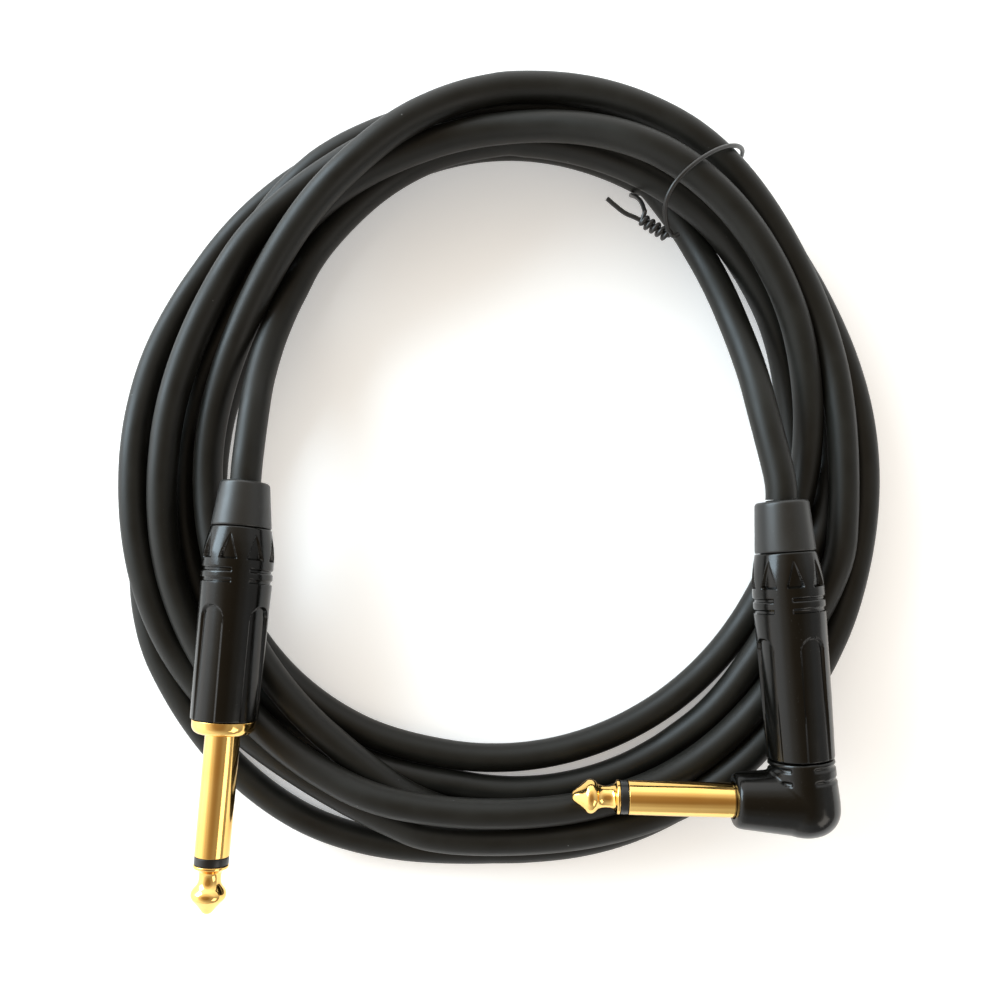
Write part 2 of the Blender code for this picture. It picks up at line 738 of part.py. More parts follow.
def tie_angle(across):
    return TIE_INNER_ANGLE + (TIE_OUTER_ANGLE - TIE_INNER_ANGLE) * across


def tie_point(across, up):
    return coil_point(tie_angle(across), across, up)


def tie_loop():
    """The loop's points, from the twist over the top, down outside, under the bundle and back."""
    inner, outer, height = coil_size((TIE_INNER_ANGLE + TIE_OUTER_ANGLE) / 2)
    width = outer - inner
    side, top = TIE_STANDOFF / width, TIE_STANDOFF / height
    low = (TIE_RADIUS + 0.35) / height
    fractions = [
        (0.02 - side * 0.7, 0.86),
        (0.3, 1.0 + top),
        (0.5, 1.0 + top * 1.1),
        (0.7, 1.0 + top),
        (0.96 + side, 0.84),
        (1.0 + side, 0.5),
        (1.0 + side, 0.2),
        (0.97, low),
        (0.5, low),
        (0.03, low),
        (-side, 0.2),
        (-side * 1.4, 0.45),
    ]
    return [tie_point(across, up) for across, up in fractions]


def add_tie():
    """Both ends of the wire wind round each other at the loop's inner corner."""
    loop = tie_loop()
    knot = (loop[0] + loop[-1]) / 2
    inward = (tie_point(0.0, 0.6) - tie_point(1.0, 0.6)).normalized()
    heading = (inward + Vector((0, 0, 0.45))).normalized()
    side = heading.cross(Vector((0, 0, 1))).normalized()
    rise = side.cross(heading)
    twist_start = knot + heading * 3.0
    strands = []
    for phase in (0.5, 1.5):
        strand = []
        for k in range(TIE_TWIST_TURNS * 8 + 1):
            turn = math.pi * phase + math.tau * k / 8
            along = TIE_TWIST_LENGTH * k / (TIE_TWIST_TURNS * 8)
            offset = rise * math.sin(turn) + side * math.cos(turn)
            strand.append(twist_start + heading * along + offset * TIE_TWIST_RADIUS)
        strands.append(strand)
    upper, lower = strands
    upper.append(upper[-1] + heading * 2.5 + rise * 2.0 + side * 2.0)
    lower.append(lower[-1] + heading * 1.5 - rise * 1.5 - side * 1.5)
    points = upper[::-1] + smooth_points(loop, step=4.0) + lower
    add_part("wire_tie", tube_curve("wire_tie", points, TIE_RADIUS), TIE_PLASTIC)


add_cable(add_straight_plug(), add_elbow_plug())
add_tie()
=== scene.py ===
"""Coiled instrument cable with a straight and a right-angle jack plug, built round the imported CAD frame.

Sizes are in millimetres unless a line says otherwise, and every piece is turned into metres as it is made.
"""

import json
import math

import bmesh
import bpy
import numpy as np
from mathutils import Matrix, Vector


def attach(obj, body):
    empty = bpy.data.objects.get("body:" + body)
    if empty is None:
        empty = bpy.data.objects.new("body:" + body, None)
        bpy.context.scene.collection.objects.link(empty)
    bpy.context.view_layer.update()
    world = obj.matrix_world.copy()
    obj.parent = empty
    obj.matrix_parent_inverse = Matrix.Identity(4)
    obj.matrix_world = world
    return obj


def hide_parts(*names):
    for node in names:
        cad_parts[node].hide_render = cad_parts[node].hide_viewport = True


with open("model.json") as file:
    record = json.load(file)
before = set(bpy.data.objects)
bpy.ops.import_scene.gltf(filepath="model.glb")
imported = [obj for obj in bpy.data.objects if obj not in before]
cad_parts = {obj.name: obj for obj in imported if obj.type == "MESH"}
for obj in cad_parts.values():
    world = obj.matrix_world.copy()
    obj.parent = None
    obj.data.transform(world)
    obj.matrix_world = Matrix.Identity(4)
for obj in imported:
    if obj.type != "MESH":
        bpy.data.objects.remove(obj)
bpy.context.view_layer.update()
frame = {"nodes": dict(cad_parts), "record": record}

MM = 0.001
JOINTS = {joint["name"]: joint for joint in frame["record"]["behaviour"]["joints"]}

# Cable, its coil and the routes of its two ends, the same as in the CAD model
CABLE_RADIUS = 2.75
COIL_MIDDLE = (-0.5, 4.2)
STRAIGHT_ROUTE = (
    (-45.7, 5.7, 17.0),
    (-45.8, 12.2, 15.5),
    (-45.4, 19.2, 13.3),
    (-43.6, 28.2, 11.3),
    (-40.3, 36.8, 10.5),
    (-35.7, 45.6, 10.0),
    (-24.8, 56.3, 10.0),
)
ELBOW_ROUTE = (
    (48.4, 4.2, 18.9),
    (47.4, 11.2, 17.4),
    (46.2, 19.4, 15.0),
    (44.2, 28.7, 12.0),
    (41.2, 38.2, 10.0),
    (36.8, 47.9, 8.5),
    (28.9, 54.4, 8.0),
    (19.7, 59.6, 8.0),
)
# Each turn of the coil: its radius and its height at every clock hour, from 12 o'clock on.
# Known fault: between 4 and 5 o'clock the first two turns change sides at one height, so they overlap.
TURNS = (
    (
        (60.4, 12), (59.5, 13), (59.2, 8), (58.4, 2.8), (65.2, 2.8), (73.4, 2.8),
        (74.2, 2.8), (79.0, 2.8), (75.8, 2.8), (67.9, 2.8), (64.8, 4), (67.9, 8),
    ),
    (
        (68.3, 8.2), (68.3, 8.3), (70.0, 2.8), (69.6, 2.8), (70.8, 2.8), (70.5, 2.8),
        (70.0, 2.8), (62.3, 8), (58.4, 7.9), (55.9, 8.2), (54.4, 12.6), (57.4, 20.5),
    ),
    (
        (66.2, 19), (67.3, 19.2), (64.7, 14.5), (63.7, 11.5), (66.6, 8.6), (68.5, 8),
        (66.3, 11.5), (67.4, 10.5), (68.2, 8), (63.5, 11), (61.4, 12), (63.4, 11.4),
    ),
    (
        (66.1, 13.4), (68.1, 13.8), (68.3, 8.3), (69.5, 8.4), (70.8, 8), (73.6, 7.6),
        (71.2, 7.6), (70.7, 5), (72.8, 5.2), (70.0, 7.9), (70.0, 2.9), (69.9, 2.8),
    ),
    (
        (68.9, 2.8), (68.0, 2.8), (64.6, 2.8), (64.0, 2.8), (61.6, 8.2), (66.3, 2.8),
        (65.6, 2.8), (65.2, 2.8), (64.7, 2.8), (62.4, 2.8), (57.8, 8), (58.2, 15.2),
    ),
    (
        (59.7, 18), (60.1, 23), (60.0, 17.5), (58.8, 9.5), (57.5, 4), (57.4, 2.8),
        (58.2, 2.8), (59.5, 2.8), (59.3, 2.8), (56.9, 2.8), (56.6, 2.8), (61.2, 2.8),
    ),
)
LEAD_MEETS_COIL = (-12.9, 62.4, 11.0)  # between the straight plug's lead and the first turn
LAST_HOURS = ((63.1, 5.0), (61.6, 7.8))  # 12 and 1 o'clock again, before the right-angle plug's lead

# Shells and nuts, measured along the barrel from the shell's front edge towards the cable
STRAIGHT_SHELL_LENGTH = 34.15
STRAIGHT_NUT_LENGTH = 8.05
STRAIGHT_NUT_REAR_RADIUS = 4.45
STRAIGHT_BARREL_START = 33.9  # from the tip
STRAIGHT_NUT_JOINT = 42.5
STRAIGHT_FACING = -21.8  # degrees from the top to the middle of the shell's plain strip
ELBOW_SHELL_LENGTH = 36.6
ELBOW_NUT_LENGTH = 8.9
ELBOW_NUT_REAR_RADIUS = 4.75
ELBOW_NUT_JOINT = 45.5
ELBOW_SEAM = 7.85  # from the arm's axis
ELBOW_FACING = 27.4
SEAM_GAP = 0.3
SHELL_STATIONS = (
    (0.0, 5.84), (0.25, 6.0), (0.59, 6.13), (0.7, 6.25), (0.8, 6.25),
    (0.865, 6.18), (0.92, 5.93), (0.97, 5.58), (1.0, 5.35),
)
SHELL_BORE = 5.1
REAR_BORE = 4.5
NUT_BORE = 3.1
PANEL_LEVEL = 5.62
PANEL_HALF_WIDTH = 2.42
PANEL_ARCH = 2.4
SHELL_GROOVE_DEPTH = 0.32
HEAD_GROOVE_DEPTH = 0.34
SHELL_STEPS = 288  # round the shell, fine enough for its edges

# Finger, measured from the tip
FINGER_RADIUS = 3.05
RING_FRONT = 8.6
RING_REAR = 9.95
STRAIGHT_SHOULDER = 31.25
ELBOW_ARM_LENGTH = 41.5  # from the tip to the barrel's axis
ELBOW_ARM_FACE = 12.6  # from the barrel's axis to the end of the head's arm

# Wire tie, and how it lifts the coil where it passes under it
TIE_RADIUS = 0.41
TIE_LIFT = 1.0
TIE_ANGLE = 57.0  # degrees anticlockwise from +X
TIE_SPREAD = 11.0  # degrees

# Settling of the coil's turns
TURN_CLEARANCE = 0.06
NEARBY = 3.0  # gaps under this are looked at again in the next rounds
ROUNDS_PER_SEARCH = 10
SHIFT_REACH = 6  # points on each side over which the shifts are evened


# Camera


def add_camera():
    camera = bpy.data.cameras.new("camera")
    camera.sensor_width = 36.0
    camera.lens = 31.7
    camera.shift_y = 0.05
    camera.clip_start = 0.005
    holder = bpy.data.objects.new("camera", camera)
    holder.location = (-0.0005, -0.0223, 0.176)
    holder.rotation_euler = (math.radians(3.0), 0.0, 0.0)
    bpy.context.scene.collection.objects.link(holder)
    bpy.context.scene.camera = holder


add_camera()


# Where the plugs are


def axis_frame(origin, along):
    """A matrix in millimetres whose Z runs along an axis and whose Y is as near to up as that allows."""
    along = Vector(along).normalized()
    across = Vector((0, 0, 1)).cross(along).normalized()
    upward = along.cross(across)
    turn = Matrix((across, upward, along)).transposed().to_4x4()
    return Matrix.Translation(Vector(origin)) @ turn


def barrel_frame(joint_name, rear):
    """The frame at a shell's front edge: the nut's joint is on the barrel's axis, rear mm behind it."""
    joint = JOINTS[joint_name]
    along = Vector(joint["axis"]).normalized()
    return axis_frame(Vector(joint["pos_m"]) / MM - along * rear, along)


def finger_frame(shoulder_mount, shoulder, barrel_point):
    """The frame at a plug's tip, from the shoulder's direction and a point on the finger's axis."""
    mount = next(m for m in frame["record"]["mounts"] if m["name"] == shoulder_mount)
    along = -Vector(mount["axis"])
    return axis_frame(Vector(barrel_point) - along.normalized() * shoulder, along)


STRAIGHT_BARREL = barrel_frame("straight_nut_turn", STRAIGHT_NUT_JOINT)
ELBOW_BARREL = barrel_frame("elbow_nut_turn", ELBOW_NUT_JOINT)
STRAIGHT_FINGER = STRAIGHT_BARREL @ Matrix.Translation((0, 0, -STRAIGHT_BARREL_START))
ELBOW_HEAD = ELBOW_BARREL @ Matrix.Translation((0, 0, -ELBOW_SEAM - SEAM_GAP))
ELBOW_FINGER = finger_frame("elbow_shoulder", ELBOW_ARM_LENGTH, ELBOW_HEAD.translation)


# Materials


def node_material(name):
    made = bpy.data.materials.new(name)
    made.use_nodes = True
    nodes, links = made.node_tree.nodes, made.node_tree.links
    shader = nodes["Principled BSDF"]
    where = nodes.new("ShaderNodeTexCoord").outputs["Object"]
    return made, nodes, links, shader, where


def noise(nodes, links, where, per_metre, detail=3.0, roughness=0.5):
    texture = nodes.new("ShaderNodeTexNoise")
    texture.inputs["Scale"].default_value = per_metre
    texture.inputs["Detail"].default_value = detail
    texture.inputs["Roughness"].default_value = roughness
    links.new(where, texture.inputs["Vector"])
    return texture.outputs["Fac"]


def remap(nodes, links, value, low, high, out_low, out_high):
    step = nodes.new("ShaderNodeMapRange")
    step.inputs["From Min"].default_value = low
    step.inputs["From Max"].default_value = high
    step.inputs["To Min"].default_value = out_low
    step.inputs["To Max"].default_value = out_high
    links.new(value, step.inputs["Value"])
    return step.outputs["Result"]


def mix_colour(nodes, links, share, first, second):
    mix = nodes.new("ShaderNodeMix")
    mix.data_type = "RGBA"
    for socket, colour in ((mix.inputs["A"], first), (mix.inputs["B"], second)):
        if isinstance(colour, tuple):
            socket.default_value = (*colour, 1.0)
        else:
            links.new(colour, socket)
    links.new(share, mix.inputs["Factor"])
    return mix.outputs["Result"]


def add_bump(nodes, links, shader, height, distance, strength):
    bump = nodes.new("ShaderNodeBump")
    bump.inputs["Distance"].default_value = distance
    bump.inputs["Strength"].default_value = strength
    links.new(height, bump.inputs["Height"])
    links.new(bump.outputs["Normal"], shader.inputs["Normal"])


def jacket_material():
    """Matte black flexible jacket: cloudy tone, fine grain and a few specks of dust."""
    made, nodes, links, shader, where = node_material("jacket")
    cloud = noise(nodes, links, where, 180, 4.0)
    shade = remap(nodes, links, cloud, 0.3, 0.7, 0, 1)
    tone = mix_colour(nodes, links, shade, (0.0052, 0.005, 0.0038), (0.0084, 0.0081, 0.0062))
    specks = nodes.new("ShaderNodeTexVoronoi")
    specks.inputs["Scale"].default_value = 420
    links.new(where, specks.inputs["Vector"])
    dust = remap(nodes, links, specks.outputs["Distance"], 0.03, 0.07, 1, 0)
    rare = remap(nodes, links, noise(nodes, links, where, 900, 1.0), 0.64, 0.7, 0, 1)
    spots = nodes.new("ShaderNodeMath")
    spots.operation = "MULTIPLY"
    links.new(dust, spots.inputs[0])
    links.new(rare, spots.inputs[1])
    colour = mix_colour(nodes, links, spots.outputs[0], tone, (0.12, 0.125, 0.125))
    links.new(colour, shader.inputs["Base Color"])
    links.new(remap(nodes, links, cloud, 0.3, 0.7, 0.42, 0.52), shader.inputs["Roughness"])
    shader.inputs["Specular IOR Level"].default_value = 0.3
    grain = noise(nodes, links, where, 5000, 2.0)
    add_bump(nodes, links, shader, grain, 0.00003, 0.35)
    return made


def black_metal(name, base, rough_low, rough_high, sheen):
    """Black plated metal: faint smears in the gloss and fine dust."""
    made, nodes, links, shader, where = node_material(name)
    smear = noise(nodes, links, where, 260, 5.0, 0.6)
    colour = mix_colour(
        nodes,
        links,
        remap(nodes, links, noise(nodes, links, where, 2600, 2.0), 0.7, 0.78, 0, 1),
        base,
        tuple(channel * 3 + 0.01 for channel in base),
    )
    links.new(colour, shader.inputs["Base Color"])
    links.new(remap(nodes, links, smear, 0.3, 0.7, rough_low, rough_high), shader.inputs["Roughness"])
    shader.inputs["Specular IOR Level"].default_value = sheen
    add_bump(nodes, links, shader, noise(nodes, links, where, 3500, 3.0), 0.00002, 0.25)
    return made


def gold_material():
    """Polished gold plate with faint turning marks and small tone changes."""
    made, nodes, links, shader, where = node_material("gold")
    tone = remap(nodes, links, noise(nodes, links, where, 120, 3.0), 0.3, 0.7, 0, 1)
    colour = mix_colour(nodes, links, tone, (0.93, 0.57, 0.17), (0.97, 0.64, 0.22))
    links.new(colour, shader.inputs["Base Color"])
    shader.inputs["Metallic"].default_value = 1.0
    smear = noise(nodes, links, where, 700, 4.0, 0.6)
    links.new(remap(nodes, links, smear, 0.3, 0.7, 0.06, 0.14), shader.inputs["Roughness"])
    add_bump(nodes, links, shader, noise(nodes, links, where, 4000, 3.0), 0.00001, 0.2)
    return made


def plastic_material(name, colour, rough_low, rough_high):
    made, nodes, links, shader, where = node_material(name)
    cloud = noise(nodes, links, where, 350, 4.0)
    darker = tuple(channel * 0.75 for channel in colour)
    links.new(mix_colour(nodes, links, cloud, darker, colour), shader.inputs["Base Color"])
    links.new(remap(nodes, links, cloud, 0.3, 0.7, rough_low, rough_high), shader.inputs["Roughness"])
    add_bump(nodes, links, shader, noise(nodes, links, where, 4500, 2.0), 0.00002, 0.3)
    return made


def metal_material(name, colour, rough_low, rough_high):
    made = plastic_material(name, colour, rough_low, rough_high)
    made.node_tree.nodes["Principled BSDF"].inputs["Metallic"].default_value = 1.0
    return made


JACKET = jacket_material()
SHELL_BLACK = black_metal("shell_black", (0.0018, 0.0017, 0.0013), 0.15, 0.24, 0.34)
NUT_BLACK = black_metal("nut_black", (0.0088, 0.009, 0.0085), 0.36, 0.46, 0.55)
GOLD = gold_material()
RING_BLACK = plastic_material("ring_black", (0.006, 0.006, 0.006), 0.25, 0.35)
TIE_BLACK = plastic_material("tie_black", (0.011, 0.010, 0.009), 0.3, 0.42)
PALE = plastic_material("pale_insulator", (0.78, 0.76, 0.7), 0.4, 0.5)
TINNED = metal_material("tinned", (0.7, 0.7, 0.68), 0.2, 0.35)
COPPER = metal_material("copper", (0.75, 0.4, 0.22), 0.3, 0.45)
CAD_FINISHES = {
    "gold_plate": GOLD,
    "black_plastic": RING_BLACK,
    "pale_plastic": PALE,
    "tinned_metal": TINNED,
    "copper_braid": COPPER,
    "jacket_rubber": JACKET,
    "black_metal": SHELL_BLACK,
    "tie_plastic": TIE_BLACK,
}


def finish_cad_nodes():
    """Every CAD node that stays in view gets the finish of its material slot."""
    for part in frame["record"]["subparts"]:
        node = frame["nodes"][part["node"]]
        node.data.materials.clear()
        node.data.materials.append(CAD_FINISHES[part["material_slot"]])
        node.data.shade_smooth()
        node.data.set_sharp_from_angle(angle=math.radians(40))


# Mesh helpers


def add_piece(name, data, finish, slot, body, *replaced):
    data.materials.append(finish)
    piece = bpy.data.objects.new(name, data)
    bpy.context.scene.collection.objects.link(piece)
    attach(piece, body)
    if replaced:
        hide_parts(*replaced)
    return piece


def rounded(outline, radius, closed=True, segments=4):
    """The outline with every corner rounded, by less where its sides are short."""
    points = [Vector((x, y, 0)) for x, y in outline]
    count = len(points)
    made = []
    for i, corner in enumerate(points):
        if not closed and i in (0, count - 1):
            made.append(corner)
            continue
        before = points[i - 1] - corner
        after = points[(i + 1) % count] - corner
        reach = min(radius, before.length * 0.45, after.length * 0.45)
        start = corner + before.normalized() * reach
        end = corner + after.normalized() * reach
        for k in range(segments + 1):
            t = k / segments
            made.append(start * (1 - t) ** 2 + corner * 2 * t * (1 - t) + end * t * t)
    return [(point.x, point.y) for point in made]


def turned_mesh(name, outline, place, steps=96, closed=True, radius_at=None):
    """A turned piece with its axis on the place's Z. radius_at can carve its surface."""
    bm = bmesh.new()
    rings = []
    for radius, along in outline:
        if radius < 1e-6:
            rings.append([bm.verts.new((0, 0, along))] * steps)
            continue
        ring = []
        for k in range(steps):
            turn = math.tau * k / steps
            r = radius_at(radius, along, turn) if radius_at else radius
            ring.append(bm.verts.new((r * math.sin(turn), r * math.cos(turn), along)))
        rings.append(ring)
    pairs = list(zip(rings, rings[1:]))
    if closed:
        pairs.append((rings[-1], rings[0]))
    for first, second in pairs:
        for k in range(steps):
            after = (k + 1) % steps
            corners = [first[k], first[after], second[after], second[k]]
            corners = list(dict.fromkeys(corners))
            if len(corners) > 2:
                bm.faces.new(corners)
    bmesh.ops.recalc_face_normals(bm, faces=bm.faces)
    bm.transform(Matrix.Scale(MM, 4) @ place)
    return finished_mesh(name, bm)


def finished_mesh(name, bm, angle=50.0):
    mesh = bpy.data.meshes.new(name)
    bm.to_mesh(mesh)
    bm.free()
    mesh.shade_smooth()
    mesh.set_sharp_from_angle(angle=math.radians(angle))
    return mesh


def smooth_step(value, start, end):
    share = min(1.0, max(0.0, (value - start) / (end - start)))
    return share * share * (3 - 2 * share)


def angle_from(turn, middle):
    """The signed angle from a middle, between -180 and 180 degrees, both in degrees."""
    return (turn - middle + 180) % 360 - 180


# Cable


def catmull_rom(points, step):
    """Points about every step mm along a smooth curve through the given points."""
    points = [np.array(point, float) for point in points]
    ends = [2 * points[0] - points[1], *points, 2 * points[-1] - points[-2]]
    made = [points[0]]
    for before, start, end, after in zip(ends, ends[1:], ends[2:], ends[3:]):
        count = max(1, round(float(np.linalg.norm(end - start)) / step))
        for k in range(1, count + 1):
            t = k / count
            made.append(
                0.5
                * (
                    2 * start
                    + (end - before) * t
                    + (2 * before - 5 * start + 4 * end - after) * t**2
                    + (3 * start - before - 3 * end + after) * t**3
                )
            )
    return np.array(made)


def evenly(points, step):
    """The same line with its points exactly the same distance apart."""
    lengths = np.linalg.norm(np.diff(points, axis=0), axis=1)
    travelled = np.concatenate([[0.0], np.cumsum(lengths)])
    count = max(2, round(travelled[-1] / step))
    wanted = np.linspace(0, travelled[-1], count + 1)
    return np.stack([np.interp(wanted, travelled, points[:, k]) for k in range(3)], axis=1)


def evened(values, reach):
    """The values with a soft moving average over reach neighbours on each side."""
    kernel = np.hanning(2 * reach + 1)
    padded = np.pad(values, reach, mode="reflect", reflect_type="odd")
    return np.convolve(padded, kernel / kernel.sum(), mode="valid")


def coil_points():
    """The coil's turns, clockwise from 12 o'clock, as far as 1 o'clock again."""
    measured = [station for turn in TURNS for station in turn]
    stations = [(hour, *station) for hour, station in enumerate([*measured, *LAST_HOURS])]
    fine = catmull_rom(stations, 1 / 12)
    hours, radii, heights = fine.T
    radii = evened(radii, 7)
    turns = np.radians(90 - 30 * hours)
    across = COIL_MIDDLE[0] + radii * np.cos(turns)
    along = COIL_MIDDLE[1] + radii * np.sin(turns)
    return list(zip(across, along, evened(heights, 3)))[::3]


def cable_exit(barrel, length, nut_length):
    return [tuple(barrel @ Vector((0, 0, length + SEAM_GAP + nut_length + out))) for out in (0.3, 4.5)]


def cable_route():
    start = cable_exit(STRAIGHT_BARREL, STRAIGHT_SHELL_LENGTH, STRAIGHT_NUT_LENGTH)
    end = cable_exit(ELBOW_BARREL, ELBOW_SHELL_LENGTH, ELBOW_NUT_LENGTH)
    lead_in = [*STRAIGHT_ROUTE[1:], LEAD_MEETS_COIL]
    return [*start, *lead_in, *coil_points(), *reversed(ELBOW_ROUTE[1:6]), *reversed(end)]


def plug_spheres():
    """Spheres along both plugs that the coil has to stay clear of: points and radii."""
    points, radii = [], []

    def line(place, start, end, radius):
        for along in np.arange(start, end, 1.0):
            points.append(tuple(place @ Vector((0, 0, float(along)))))
            radii.append(radius)

    line(STRAIGHT_FINGER, 0, STRAIGHT_SHOULDER, FINGER_RADIUS)
    line(STRAIGHT_BARREL, -2, STRAIGHT_SHELL_LENGTH, 6.6)
    line(STRAIGHT_BARREL, STRAIGHT_SHELL_LENGTH, 43.2, 5.4)
    line(ELBOW_FINGER, 0, 32, FINGER_RADIUS)
    line(ELBOW_FINGER, 32, 42, 5.6)
    line(ELBOW_HEAD, -2, 8, 6.5)
    line(ELBOW_BARREL, 0, ELBOW_SHELL_LENGTH, 6.8)
    line(ELBOW_BARREL, ELBOW_SHELL_LENGTH, 46.0, 5.6)
    return np.array(points), np.array(radii)


def lift_under_tie(points):
    """How far the tie's wire, which passes under the coil at about 1 o'clock, lifts it."""
    offset = points[:, :2] - np.array(COIL_MIDDLE)
    angle = np.degrees(np.arctan2(offset[:, 1], offset[:, 0]))
    return TIE_LIFT * np.exp(-(((angle - TIE_ANGLE) / TIE_SPREAD) ** 2))


def settle(home, rounds=320):
    """Pushes turns that overlap apart, and off the floor and the plugs.

    Only the shifts from the measured line are evened out, so a turn that crosses another bends gently.
    It can't lift a turn over one that crosses it at the same height, so their heights in TURNS must differ.
    """
    spacing = 2 * CABLE_RADIUS + TURN_CLEARANCE
    step = float(np.linalg.norm(home[1] - home[0]))
    count = len(home)
    index = np.arange(count)
    skip = int(6.4 * CABLE_RADIUS / step)
    obstacles, obstacle_radii = plug_spheres()
    from_end = np.minimum(index, index[::-1]) * step
    free = np.clip((from_end - 5.0) / 8.0, 0.0, 1.0)[:, None]
    off_plugs = from_end > 14.0
    kernel = np.hanning(2 * SHIFT_REACH + 1)
    kernel /= kernel.sum()
    shift = np.zeros_like(home)
    for turn in range(rounds):
        late = turn / rounds
        points = home + shift
        if turn % ROUNDS_PER_SEARCH == 0:
            gaps = np.linalg.norm(points[:, None] - points[None], axis=2)
            first, second = np.nonzero((gaps < spacing + NEARBY) & (index[None] - index[:, None] > skip))
            plug_gaps = np.linalg.norm(points[:, None] - obstacles[None], axis=2) - obstacle_radii
            cable_index, plug_index = np.nonzero((plug_gaps < CABLE_RADIUS + NEARBY) & off_plugs[:, None])
        move = np.zeros_like(points)
        hits = np.zeros((count, 1))
        apart = points[second] - points[first]
        distance = np.linalg.norm(apart, axis=1)
        short = np.clip(spacing - distance, 0, None)
        push = apart / distance[:, None] * (short / 2)[:, None] * np.array([0.7, 0.7, 1.2])
        hit = (short > 0).astype(float)[:, None]
        np.add.at(move, first, -push)
        np.add.at(move, second, push)
        np.add.at(hits, first, hit)
        np.add.at(hits, second, hit)
        apart = points[cable_index] - obstacles[plug_index]
        distance = np.linalg.norm(apart, axis=1)
        short = np.clip(CABLE_RADIUS + 0.1 + obstacle_radii[plug_index] - distance, 0, None)
        np.add.at(move, cable_index, apart / distance[:, None] * short[:, None])
        np.add.at(hits, cable_index, (short > 0).astype(float)[:, None])
        shift += free * move / np.maximum(hits, 1.0)
        shift *= 1 - 0.02 * (1 - 0.8 * late)
        padded = [np.pad(shift[:, k], SHIFT_REACH, mode="edge") for k in range(3)]
        evened_shift = np.stack([np.convolve(values, kernel, "valid") for values in padded], 1)
        shift += free * (evened_shift - shift) * (0.5 - 0.3 * late)
        floor = CABLE_RADIUS + lift_under_tie(home + shift)
        shift[:, 2] = np.maximum(shift[:, 2], floor - home[:, 2])
    return home + shift


def tube_curve(name, points, radius, sides):
    curve = bpy.data.curves.new(name, "CURVE")
    curve.dimensions = "3D"
    curve.bevel_depth = radius * MM
    curve.bevel_resolution = sides
    curve.use_fill_caps = True
    spline = curve.splines.new("POLY")
    spline.points.add(len(points) - 1)
    for spline_point, point in zip(spline.points, points):
        spline_point.co = (*(float(value) * MM for value in point), 1.0)
    return curve


def add_cable():
    points = evenly(catmull_rom(cable_route(), 0.5), 2.0)
    points = settle(points)
    points = evenly(catmull_rom(points, 1.0), 1.6)
    data = tube_curve("cable", points, CABLE_RADIUS, 7)
    replaced = ("cable_coil", "straight_lead", "elbow_lead")
    cable = add_piece("cable", data, JACKET, "jacket_rubber", "root", *replaced)
    return points


cable_points = add_cable()


# Plug fingers


def add_tip(plug, place):
    outline = [
        (0.0, 0.0),
        (0.62, 0.0),
        (0.95, 0.3),
        (1.7, 1.25),
        (2.5, 2.15),
        (2.93, 2.65),
        (3.08, 3.15),
        (3.05, 3.7),
        (2.75, 4.25),
        (2.3, 4.75),
        (2.0, 5.3),
        (1.9, 6.0),
        (1.93, 6.8),
        (2.1, 7.35),
        (2.55, 7.75),
        (2.98, 7.95),
        (3.05, 8.1),
        (3.05, 8.42),
        (2.97, 8.5),
        (1.0, 8.5),
        (1.0, 9.0),
        (0.0, 9.0),
    ]
    mesh = turned_mesh(f"{plug}_tip", rounded(outline, 0.35, closed=False), place, closed=False)
    add_piece(f"{plug}_tip", mesh, GOLD, "gold_plate", "root", f"{plug}_tip_contact")


def add_sleeve(plug, place, rear, flange):
    """The long contact, with a bowl-shaped flange behind it on the straight plug."""
    front = RING_REAR + 0.1
    outline = [(2.4, rear), (2.4, front), (FINGER_RADIUS, front)]
    if flange:
        shoulder = STRAIGHT_SHOULDER
        outline += [(FINGER_RADIUS, shoulder), (3.9, shoulder)]
        outline += [
            (4.1 + 1.4 * math.sin(turn), shoulder + 1.55 - 1.5 * math.cos(turn))
            for turn in np.linspace(0.0, math.pi / 2, 8)
        ]
        outline += [(5.55, shoulder + 2.45), (4.6, shoulder + 2.45), (4.6, rear)]
    else:
        outline += [(FINGER_RADIUS, rear)]
    outline = rounded(outline, 0.1)
    mesh = turned_mesh(f"{plug}_sleeve", outline, place)
    add_piece(f"{plug}_sleeve", mesh, GOLD, "gold_plate", "root", f"{plug}_sleeve_contact")


def add_ring(plug, place):
    outline = rounded([(1.3, RING_FRONT), (2.98, RING_FRONT), (2.98, RING_REAR), (1.3, RING_REAR)], 0.1)
    mesh = turned_mesh(f"{plug}_ring", outline, place)
    add_piece(f"{plug}_ring", mesh, RING_BLACK, "black_plastic", "root", f"{plug}_insulating_ring")


# Shells


def shell_radius(share):
    stations = SHELL_STATIONS
    shares = [station[0] for station in stations]
    radii = [station[1] for station in stations]
    return float(np.interp(share, shares, radii))


